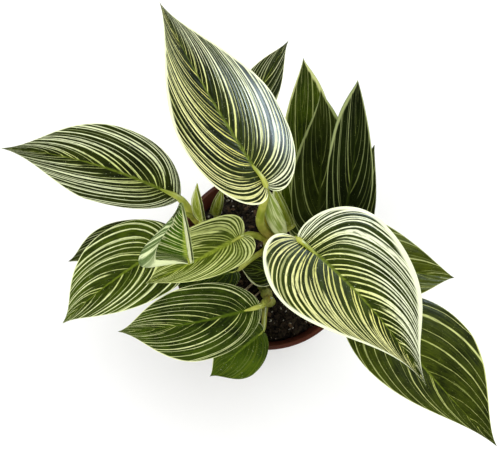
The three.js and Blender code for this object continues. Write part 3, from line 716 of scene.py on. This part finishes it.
def leaf_skin(name, seed, half_width, dark=(12, 18, 0), green=(42, 52, 1), dull=(84, 100, 16),
              cream=(224, 230, 122), pale=(242, 246, 194), rib=(120, 138, 36), broad=(9, 0.1, 1.0),
              fine=(25, 0.19, 0.9), hair=(60, 0.2, 0.25), margins=(0.012, 0.012), sweep=vein_sweep,
              arch=vein_arch, roughness=0.26, rib_width=0.45, golden=(0.0, 0.0), gloss=0.16, pale_base=0.0):
    """The waxy upper side of a striped blade. Broad, fine and hair lines each give their number, width and
    strength; margins and golden give their share of the left and the right half."""
    made, tree, place = material(name)
    along, out, right = growth_places(tree, sweep, arch)
    mottle = tree.noise(place, 120.0, 3.0, 0.6)
    grain = tree.noise(tree.point(along * 70.0, out * 5.0 + right * 7.0, seed), 1.0, 3.0, 0.7)
    patches = tree.noise(place, 34.0, 2.0)
    clouds = mottle * 0.3 + grain * 0.6 + patches * 0.4
    colour = tree.mix(clouds.step(0.45, 0.85), tint(*dark), tint(*green))
    light = tree.mix(1.0 - out.step(0.0, 0.6), tint(*pale), tint(*cream))
    light = tree.mix(golden[0] + (golden[1] - golden[0]) * right, light, tint(236, 232, 112))
    number, width, strength = hair
    hair_lines, bright = stripes(tree, along, out, right, float(number), width, seed)
    dashes = tree.noise(tree.point(along * 40.0, out * 30.0 + right * 7.0, seed), 1.0, 1.0).step(0.4, 0.6)
    hair_colour = tree.mix(bright * 0.5, tint(*green), tint(*dull))
    colour = tree.mix(hair_lines * dashes * (strength * 1.6), colour, hair_colour)
    streaks = tree.noise(tree.point(along * 150.0, out * 14.0 + right * 7.0, seed), 1.0, 2.0, 0.6)
    breaks = 1.0 - streaks.step(0.5, 0.66) * 0.55
    for layer, (number, width, strength) in enumerate((fine, broad)):
        lines, bright = stripes(tree, along, out, right, float(number), width, seed + 3.3 + layer)
        line_colour = tree.mix((bright * strength).step(0.1, 0.9), tint(*dull), light)
        colour = tree.mix(lines * breaks, colour, line_colour)
    # Fine pale specks are mixed in lightly over the whole blade.
    pale_specks = tree.noise(place, 1300.0, 1.0).step(0.7, 0.78)
    colour = tree.mix(pale_specks * 0.3, colour, tint(*pale))
    ragged = tree.noise(tree.point(along * 16.0, right * 5.0, seed), 1.0, 2.0)
    left_width, right_width = margins
    width = (left_width + (right_width - left_width) * right) * (0.35 + 1.3 * ragged)
    rim = out.step(1.0 - width * 1.4 - 0.004, 1.0 - width * 0.7)
    colour = tree.mix(rim, colour, tint(*pale))
    colour = tree.mix(1.0 - along.step(pale_base * 0.6, pale_base + 0.001), colour, tint(*pale))
    rib_half = rib_width / half_width
    frayed = rib_half * (0.5 + ragged)
    colour = tree.mix((1.0 - out.step(frayed * 0.7, frayed * 2.6)) * 0.9, colour,
                      tree.mix(grain.step(0.3, 0.7), tint(*green), tint(*rib)))
    veins = (along * (fine[0] * 2 * math.pi)).apply("COSINE") * 0.5 + 0.5
    height = veins * 0.5 + grain * 0.6 + mottle * 0.3
    surface(tree, height, 0.00022, Base_Color=colour, Roughness=roughness + 0.16 * grain,
            Specular_IOR_Level=gloss)
    return made


under_skin, tree, place = material("Underside of a blade")
along, out, right = growth_places(tree)
mottle = tree.noise(place, 160.0, 3.0)
lines, _ = stripes(tree, along, out, right, 26.0, 0.2, 4.0)
grey = tree.mix(mottle, tint(104, 126, 70), tint(146, 162, 104))
grey = tree.mix(lines * 0.55, grey, tint(198, 208, 162))
grey = tree.mix(1.0 - out.step(0.03, 0.12), grey, tint(176, 190, 110))
surface(tree, lines + mottle, 0.0002, Base_Color=grey, Roughness=0.55)

petiole_skin, tree, place = material("Petiole skin")
along, around, _ = tree.node("ShaderNodeUVMap", {"uv_map": "growth"}).parts()
streaks = tree.noise(tree.point(along * 3.0, around * 26.0, 0.0), 1.0, 3.0, 0.6)
patches = tree.noise(place, 110.0, 2.0)
fresh = tree.mix(patches.step(0.3, 0.7), tint(136, 150, 32), tint(186, 190, 80))
fresh = tree.mix(streaks.step(0.52, 0.72) * 0.6, fresh, tint(216, 218, 140))
fresh = tree.mix((1.0 - along.step(0.0, 0.55)) * (0.2 + patches * 0.8), fresh, tint(132, 72, 28))
surface(tree, streaks, 0.00015, Base_Color=fresh, Roughness=0.38)

# Each half of a blade: its width in millimetres, shares of its length, and angles in degrees.
plain_half = {"half": 24, "widest": 0.36, "lobe": 0.09, "shoulder": 0.8, "full": 0.5, "drip": 0.16,
              "fold": 12, "curl": -20, "roll": 1, "taper": 1}


def stem_point(stem, height):
    """The point on a stem's axis at a height."""
    foot_place, crown, _, _ = stems[stem]
    share = (height - soil_height) / (crown[2] - soil_height)
    return Vector((*foot_place, soil_height)).lerp(Vector(crown), share)


def midrib(base, tip, rise, sway, face):
    """The four control points of a midrib, and the blade's upward direction."""
    base, tip = Vector(base), Vector(tip)
    along = (tip - base).normalized()
    side = along.cross(Vector(face)).normalized()
    up = side.cross(along).normalized()
    inner = [base.lerp(tip, (k + 1) / 3) + up * rise[k] + side * sway for k in range(2)]
    return [base, *inner, tip], up


blade_thickness, full_rib_depth, full_rib_petiole = 0.6 * mm, 1.5 * mm, 1.8
vein_crowding, vein_bend_along, vein_bend_out, quilts = 1.3, 0.25, 0.65, 13.0
fine_grid, plain_grid = (101, 45), (57, 29)
run_on = 0.12


def grow_leaf(node, root, base, tip, left, right, upper, face=(0, -0.1, 1), rise=(6, 6), sway=0,
              bow=(0, 0, 0), petiole=(3, 1.8), wave=0.8, fine=True, slot="striped", relief=0.16,
              under=under_skin, uneven=1.6):
    """A leaf from its root on a stem, with sizes in millimetres, in place of its CAD node. Its petiole runs
    on into the blade, for a share run_on of the midrib."""
    ribs, up = midrib(base, tip, rise, sway, face)
    thick, thin = petiole
    neck = ribs[0] - up * thin * 0.7
    rest = 1 - run_on
    weights = (rest ** 3, 3 * run_on * rest ** 2, 3 * run_on ** 2 * rest, run_on ** 3)
    join = sum((point * weight for point, weight in zip(ribs, weights)), Vector())
    middle = root.lerp(neck, 0.5) + Vector(bow)
    leaf = line_of("grown_" + node, [root, middle, neck, join - up * thin * 0.45])
    grow(leaf, stalk_shape, **{**plain_stalk, "Thick": thick * mm, "Thin": thin * mm, "Power": 2.0,
                               "Tail": 0.55, "Skin": petiole_skin})
    halves = {}
    for side, given_half in (("Left_", left), ("Right_", right)):
        for name, value in {**plain_half, **given_half}.items():
            halves[side + name.capitalize()] = float(value) * (mm if name == "half" else 1)
    rows, columns = fine_grid if fine else plain_grid
    rib_depth = full_rib_depth * min(1.0, thin / full_rib_petiole)
    grow(leaf, blade_shape, Base=ribs[0] * mm, Inner_1=ribs[1] * mm, Inner_2=ribs[2] * mm, Tip=ribs[3] * mm,
         Up=up, Wave=wave * mm, Crowding=vein_crowding, Bend_along=vein_bend_along, Bend_out=vein_bend_out,
         Thickness=blade_thickness, Rib_depth=rib_depth, Relief=relief * mm, Quilts=quilts,
         Uneven=uneven * mm, Seed=float(len(node)), Rows=rows, Columns=columns, Upper=upper, Under=under,
         **halves)
    settled(leaf)
    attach(leaf, "root")
    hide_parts(node)


# ---- the leaves of the centre stem --------------------------------------------------------------
# The largest and palest leaves grow here: two stand highest, with broad cream stripes and margins, and
# smaller ones spread to the left and the back. Their petioles clasp the stem one above the other.
grow_leaf("leaf_top", stem_point("stem_centre", 119), (-1, 22, 203), (-62, 130, 208),
          {"half": 27.5, "widest": 0.33, "drip": 0.2, "full": 0.36, "fold": 3, "curl": -20},
          {"half": 34, "widest": 0.33, "drip": 0.2, "full": 0.36, "fold": 8, "curl": -42},
          leaf_skin("Skin of the top leaf", 1.0, 30, green=(46, 58, 1), cream=(224, 228, 128),
                    pale=(240, 246, 200), broad=(12, 0.12, 1.0), fine=(33, 0.2, 1.0), margins=(0.05, 0.035),
                    sweep=0.7, arch=0.9, golden=(0.5, 0.0), gloss=0.3),
          face=(0.05, -0.1, 1), rise=(9, 7), sway=-4, bow=(-5.5, -5, 0), petiole=(3.6, 2.1))
grow_leaf("leaf_right_front", stem_point("stem_centre", 112), (17, -5, 190), (95, -85, 142),
          {"half": 40, "widest": 0.24, "lobe": 0.04, "drip": 0.32, "full": 0.6},
          {"half": 34, "widest": 0.15, "lobe": 0.14, "drip": 0.33, "full": 0.32},
          leaf_skin("Skin of the right front leaf", 21.0, 37, dark=(22, 32, 0), green=(58, 72, 1),
                    cream=(228, 234, 142), pale=(240, 246, 208), broad=(15, 0.17, 1.0), fine=(33, 0.22, 1.0),
                    margins=(0.08, 0.06), sweep=0.68, golden=(0.0, 0.55), gloss=0.18),
          face=(0.2, -0.1, 1), rise=(10, 9), sway=-5, bow=(8, -6, 4), petiole=(3.4, 2.1))
grow_leaf("leaf_left_middle", stem_point("stem_centre", 113), (-14, 1, 170), (-73, -25, 152),
          {"half": 14.5, "widest": 0.15, "lobe": 0.07, "shoulder": 1.1},
          {"half": 19, "widest": 0.45, "lobe": 0.03, "shoulder": 1.45, "full": 0.55},
          leaf_skin("Skin of the left middle leaf", 3.0, 18, dark=(36, 48, 2), green=(84, 100, 14),
                    dull=(118, 132, 44), cream=(198, 208, 108), pale=(208, 216, 138), broad=(8, 0.12, 0.8),
                    fine=(23, 0.31, 1.0), margins=(0.03, 0.06), rib=(156, 172, 52), rib_width=0.7),
          rise=(5, 4), sway=-2, bow=(-2, 1, 4), wave=1.2)
grow_leaf("leaf_left_under", stem_point("stem_centre", 103), (-19, -12, 120), (-60, -19, 109),
          {"half": 13}, {"half": 13},
          leaf_skin("Skin of the plain leaf under it", 4.0, 13, green=(52, 74, 14), broad=(5, 0.1, 0.2),
                    fine=(12, 0.1, 0.3), hair=(30, 0.2, 0.2), margins=(0.0, 0.0), rib=(96, 118, 30)),
          rise=(3, 3), bow=(0, 0, 5), petiole=(2.4, 1.5), fine=False, slot="plain")
grow_leaf("leaf_back_far", stem_point("stem_centre", 109), (-16, 69, 150), (14, 125, 165),
          {"half": 13}, {"half": 12},
          leaf_skin("Skin of the far back leaf", 5.0, 13, broad=(5, 0.06, 0.7), fine=(12, 0.1, 0.6)),
          face=(0, -0.3, 1), rise=(5, 5), sway=-2, bow=(0, 6, 8), petiole=(2.8, 1.7), fine=False)

# ---- the leaves of the left stem ----------------------------------------------------------------
# Three darker leaves with thinner stripes spread over the pot's left side. Each has grown in one with the
# petiole that joins it to the stem.
grow_leaf("leaf_left_back", stem_point("stem_left", 101), (-53, 28, 150), (-167, 63, 140),
          {"half": 22, "widest": 0.45, "lobe": 0, "full": 0.3},
          {"half": 27, "widest": 0.36, "lobe": 0, "drip": 0.25},
          leaf_skin("Skin of the left back leaf", 6.0, 24, dark=(16, 22, 0), green=(48, 58, 2),
                    cream=(210, 220, 128), pale=(228, 236, 188), broad=(11, 0.08, 1.0), fine=(22, 0.13, 1.0),
                    hair=(44, 0.13, 0.2)),
          rise=(9, 9), sway=7, bow=(0, -2, 2), petiole=(4.2, 2.2))
grow_leaf("leaf_left_front", stem_point("stem_left", 97), (-59, 5, 128), (-132, -43, 98),
          {"half": 26, "widest": 0.17, "lobe": 0.12},
          {"half": 29, "widest": 0.35, "lobe": 0.06, "full": 0.6, "drip": 0.22},
          leaf_skin("Skin of the left front leaf", 7.0, 27, dark=(26, 36, 0), green=(72, 90, 4),
                    cream=(212, 222, 132), pale=(230, 238, 176), broad=(7, 0.06, 0.95),
                    fine=(17, 0.12, 0.95)),
          face=(-0.1, -0.1, 1), rise=(9, 9), sway=2, bow=(-3, -2, 4))
grow_leaf("leaf_left_low", stem_point("stem_left", 93), (-62, 12, 112), (-129, -3, 103),
          {"half": 16, "lobe": 0.06}, {"half": 15, "widest": 0.48, "full": 0.6},
          leaf_skin("Skin of the left low leaf", 8.0, 16, broad=(4, 0.05, 0.5), fine=(12, 0.09, 0.5)),
          rise=(4, 4), sway=3, bow=(-4, -2, 2), petiole=(2.6, 1.6), fine=False)

# ---- the leaves of the front stem ---------------------------------------------------------------
# One dark striped leaf reaches out over the rim. Two small plain ones, from when the plant was young,
# lie low on the soil.
grow_leaf("leaf_front", stem_point("stem_front", 100), (-4, -36, 132), (-95, -49, 106),
          {"half": 24, "widest": 0.43, "lobe": 0.02, "full": 0.4, "drip": 0.2},
          {"half": 23, "widest": 0.39, "lobe": 0.02, "full": 0.6},
          leaf_skin("Skin of the front leaf", 9.0, 23, dark=(16, 26, 0), green=(66, 86, 2),
                    dull=(88, 110, 20), cream=(222, 230, 136), pale=(232, 238, 172), broad=(6, 0.035, 1.0),
                    fine=(17, 0.07, 0.95), hair=(44, 0.12, 0.2), rib=(84, 104, 16)),
          rise=(8, 8), sway=-4, petiole=(2.8, 1.8))
grow_leaf("leaf_front_low", stem_point("stem_front", 96), (-2, -49, 108), (-36, -77, 96),
          {"half": 17, "widest": 0.47, "lobe": 0.04}, {"half": 17},
          leaf_skin("Skin of the plain front leaf", 10.0, 17, dark=(38, 56, 1), green=(72, 94, 4),
                    broad=(4, 0.1, 0.1), fine=(12, 0.1, 0.2), hair=(30, 0.2, 0.2), margins=(0.0, 0.03),
                    rib=(120, 142, 40)),
          rise=(3, 3), petiole=(2.4, 1.5), fine=False, slot="plain")
grow_leaf("leaf_centre_low", stem_point("stem_front", 91), (7, -10, 103), (-17, -6, 99),
          {"half": 11}, {"half": 8},
          leaf_skin("Skin of the low centre leaf", 11.0, 10, broad=(4, 0.1, 0.2), fine=(10, 0.1, 0.3),
                    hair=(24, 0.2, 0.2), margins=(0.08, 0.0)),
          rise=(2, 2), petiole=(2.2, 1.4), fine=False, slot="plain")

# ---- the leaves of the right stem ---------------------------------------------------------------
# Two dark leaves hang over the rim at the right, and four narrow ones stand up at the back.
grow_leaf("leaf_right_low", stem_point("stem_right", 96), (66, -35, 128), (148, -121, 92),
          {"half": 37, "widest": 0.42, "lobe": 0.03, "full": 0.36},
          {"half": 28, "widest": 0.17, "lobe": 0.16, "full": 0.36, "drip": 0.3},
          leaf_skin("Skin of the right low leaf", 12.0, 32, dark=(20, 28, 0), green=(66, 78, 2),
                    cream=(184, 194, 96), pale=(200, 208, 130), broad=(5, 0.02, 1.0), fine=(11, 0.022, 0.85),
                    hair=(40, 0.1, 0.2)),
          face=(0.1, -0.1, 1), rise=(9, 8), sway=4, bow=(4, -8, 8))
grow_leaf("leaf_right_back", stem_point("stem_right", 100), (45, -5, 148), (117, -18, 131),
          {"half": 25, "widest": 0.18, "full": 0.4, "drip": 0.1}, {"half": 23, "widest": 0.33, "full": 0.45},
          leaf_skin("Skin of the right back leaf", 13.0, 24, dark=(44, 54, 0), green=(92, 104, 5),
                    cream=(196, 204, 110), pale=(206, 214, 140), broad=(4, 0.04, 0.8), fine=(8, 0.04, 0.7)),
          face=(0, -0.2, 1), rise=(5, 4), sway=3, bow=(2, -4, 2))
upright_stripes = {"margins": (0.05, 0.05), "broad": (4, 0.04, 0.7), "fine": (9, 0.05, 0.6),
                   "hair": (30, 0.15, 0.25)}
sparse_stripes = {**upright_stripes, "broad": (4, 0.035, 0.7), "fine": (8, 0.04, 0.6)}
edge_stripes = {"broad": (3, 0.05, 0.7), "fine": (8, 0.06, 0.6), "hair": (30, 0.15, 0.25)}
grow_leaf("leaf_back_right", stem_point("stem_right", 101), (47, 12, 136), (50, 80, 214),
          {"half": 15, "widest": 0.5, "full": 0.75, "drip": 0.05},
          {"half": 14, "widest": 0.25, "lobe": 0.12, "full": 0.35, "drip": 0.04},
          leaf_skin("Skin of the right one at the back", 14.0, 15, dark=(4, 8, 0), green=(24, 34, 0),
                    dull=(52, 64, 12), cream=(140, 150, 76), pale=(150, 160, 104), rib=(50, 62, 14),
                    **sparse_stripes),
          face=(0.1, -0.8, 0.6), sway=2, petiole=(3, 2))
grow_leaf("leaf_back_middle", stem_point("stem_right", 99), (32, 12, 120), (31, 83, 192),
          {"half": 18}, {"half": 18, "full": 0.75, "drip": 0.08},
          leaf_skin("Skin of the middle one at the back", 15.0, 18, dark=(12, 20, 0), green=(46, 56, 2),
                    dull=(52, 64, 12), cream=(140, 150, 76), pale=(150, 160, 100), rib=(50, 62, 14),
                    **upright_stripes),
          face=(0, -0.8, 0.6), rise=(5, 5), sway=2, petiole=(2.8, 1.8))
grow_leaf("leaf_back_left", stem_point("stem_right", 97), (25, 13, 108), (22, 108, 178),
          {"half": 14, "full": 0.6, "drip": 0.1}, {"half": 21, "widest": 0.42, "full": 0.8, "drip": 0.06},
          leaf_skin("Skin of the left one at the back", 16.0, 18, dark=(22, 34, 0), green=(72, 90, 2),
                    dull=(90, 106, 22), cream=(196, 202, 110), pale=(206, 212, 140), rib=(80, 94, 22),
                    **upright_stripes),
          face=(-0.1, -0.8, 0.6), sway=-1, petiole=(3, 2))
grow_leaf("leaf_back_edge", stem_point("stem_right", 95), (59, 16, 106), (67, 62, 150),
          {"half": 18, "widest": 0.38}, {"half": 11, "widest": 0.27, "drip": 0.1},
          leaf_skin("Skin of the edge one at the back", 17.0, 15, dark=(16, 24, 0), green=(50, 60, 2),
                    dull=(70, 84, 18), cream=(170, 178, 96), pale=(180, 188, 120), rib=(70, 84, 20),
                    **edge_stripes),
          face=(-0.3, -0.7, 0.6), rise=(4, 4), sway=-2, petiole=(2.6, 1.6), fine=False)

# ---- the young growth ---------------------------------------------------------------------------
# A young leaf at the left has just opened: its wide half is still rolled in, so that its pale underside
# shows. Thin pale sheaths stand at two crowns, and one shoot comes up through the soil.
young_skin = leaf_skin("Skin of the young leaf", 18.0, 30, dark=(26, 62, 4), green=(88, 124, 20),
                       dull=(150, 180, 70), cream=(240, 246, 168), pale=(246, 250, 200), rib=(196, 210, 88),
                       broad=(13, 0.2, 1.0), fine=(27, 0.22, 1.0), margins=(0.05, 0.9), rib_width=0.8)
young_under = leaf_skin("Underside of the young leaf", 20.0, 30, dark=(62, 84, 34), green=(112, 134, 74),
                        dull=(134, 154, 98), cream=(176, 192, 132), pale=(222, 232, 178),
                        rib=(190, 204, 110), broad=(8, 0.14, 0.9), fine=(20, 0.18, 0.8),
                        margins=(0.025, 0.4), roughness=0.42, pale_base=0.3)
grow_leaf("leaf_left_young", stem_point("stem_left", 104), (-44.5, -18, 187), (-47, 9, 217),
          {"half": 41, "widest": 0.28, "lobe": -0.1, "shoulder": 0.2, "drip": 0.25,
           "fold": -10, "curl": 270, "roll": 3, "taper": 0.1},
          {"half": 7, "widest": 0.3, "lobe": 0, "fold": 56, "curl": 20},
          young_skin, under=young_under, face=(0, -0.7, 0.7), rise=(2, 2), bow=(-9, 15, 14),
          petiole=(2, 1.3), wave=0, relief=0.1, uneven=0)
sheath_skin = leaf_skin("Skin of a sheath", 19.0, 7, dark=(132, 148, 30), green=(180, 192, 66),
                        dull=(190, 200, 96), cream=(228, 232, 140), broad=(4, 0.2, 0.5), fine=(9, 0.25, 0.5),
                        margins=(0.16, 0.16))
thin_sheath = {"under": sheath_skin, "rise": (1, 1), "wave": 0, "fine": False, "slot": "stem", "relief": 0.05,
               "uneven": 0}
grow_leaf("sheath_left", stem_point("stem_left", 105), (-41, 17, 134), (-42, 31, 172),
          {"half": 4, "lobe": 0, "fold": 20, "curl": 30},
          {"half": 6, "widest": 0.3, "lobe": 0, "fold": 10, "curl": 20},
          sheath_skin, face=(-0.6, -0.6, 0.4), bow=(-1, -2, 2), petiole=(4, 2.6), **thin_sheath)
grow_leaf("sheath_centre", stem_point("stem_centre", 119), (16, 16, 124), (4, 34, 163),
          {"half": 6, "lobe": 0, "fold": 15, "curl": 40}, {"half": 5, "lobe": 0, "fold": 10, "curl": 20},
          sheath_skin, face=(-0.5, -0.7, 0.4), petiole=(3, 2.4), **thin_sheath)
shoot_half = {"half": 5, "lobe": 0, "fold": 30, "curl": 60}
grow_leaf("shoot", Vector((-34, 28, 66)), (-33, 30, 94), (-28, 39, 128), shoot_half, shoot_half,
          sheath_skin, face=(-0.3, -0.9, 0.3), petiole=(2, 1.6), **thin_sheath)

# ---- the next leaf ------------------------------------------------------------------------------
# The newest leaf stands at the centre, still rolled up tight: a spindle of pale blade on its own petiole.
# Its outer margin lies over the turn below it and shows as a step.
bud_size, bud_stalk_thick, bud_stalk_thin, bud_steps = 6.4 * mm, 3.2 * mm, 2.6 * mm, 8
ribs, _ = midrib((9.5, 12, 130), (0, 24, 189), (2, 1), 0, (-0.4, -0.5, 0.4))
roll_skin, tree, _ = material("Skin of the rolled new leaf")
along, around, _ = tree.node("ShaderNodeUVMap", {"uv_map": "growth"}).parts()
lines = tree.noise(tree.point(along * 2.0, around * 16.0 + along * 3.0, 2.0), 1.0, 3.0, 0.6)
fresh = tree.mix(lines.step(0.42, 0.62), tint(146, 168, 62), tint(226, 234, 170))
fresh = tree.mix(around.step(0.93, 0.99) * 0.8, fresh, tint(238, 240, 206))
surface(tree, lines, 0.0002, Base_Color=fresh, Roughness=0.4)
spindle = [bezier(k / bud_steps, *ribs) for k in range(bud_steps + 1)]
bud = line_of("grown_new_leaf", spindle)
grow(bud, stalk_shape, **{**plain_stalk, "Sides": 31, "Steps": 64, "Thick": bud_size, "Thin": bud_size,
                          "Overlap": 0.22, "Belly_from": 0.28, "Belly_to": 0.98, "Skin": roll_skin})
settled(bud)
bud_root = stem_point("stem_centre", 120)
stalk = line_of("bud stalk", [bud_root, bud_root.lerp(ribs[0], 0.5), ribs[0], spindle[1]])
grow(stalk, stalk_shape, **{**plain_stalk, "Thick": bud_stalk_thick, "Thin": bud_stalk_thin, "Power": 2.0,
                            "Tail": 0.5, "Skin": petiole_skin})
settled(stalk)
with bpy.context.temp_override(active_object=bud, selected_editable_objects=[bud, stalk]):
    bpy.ops.object.join()
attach(bud, "root")
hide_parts("new_leaf")
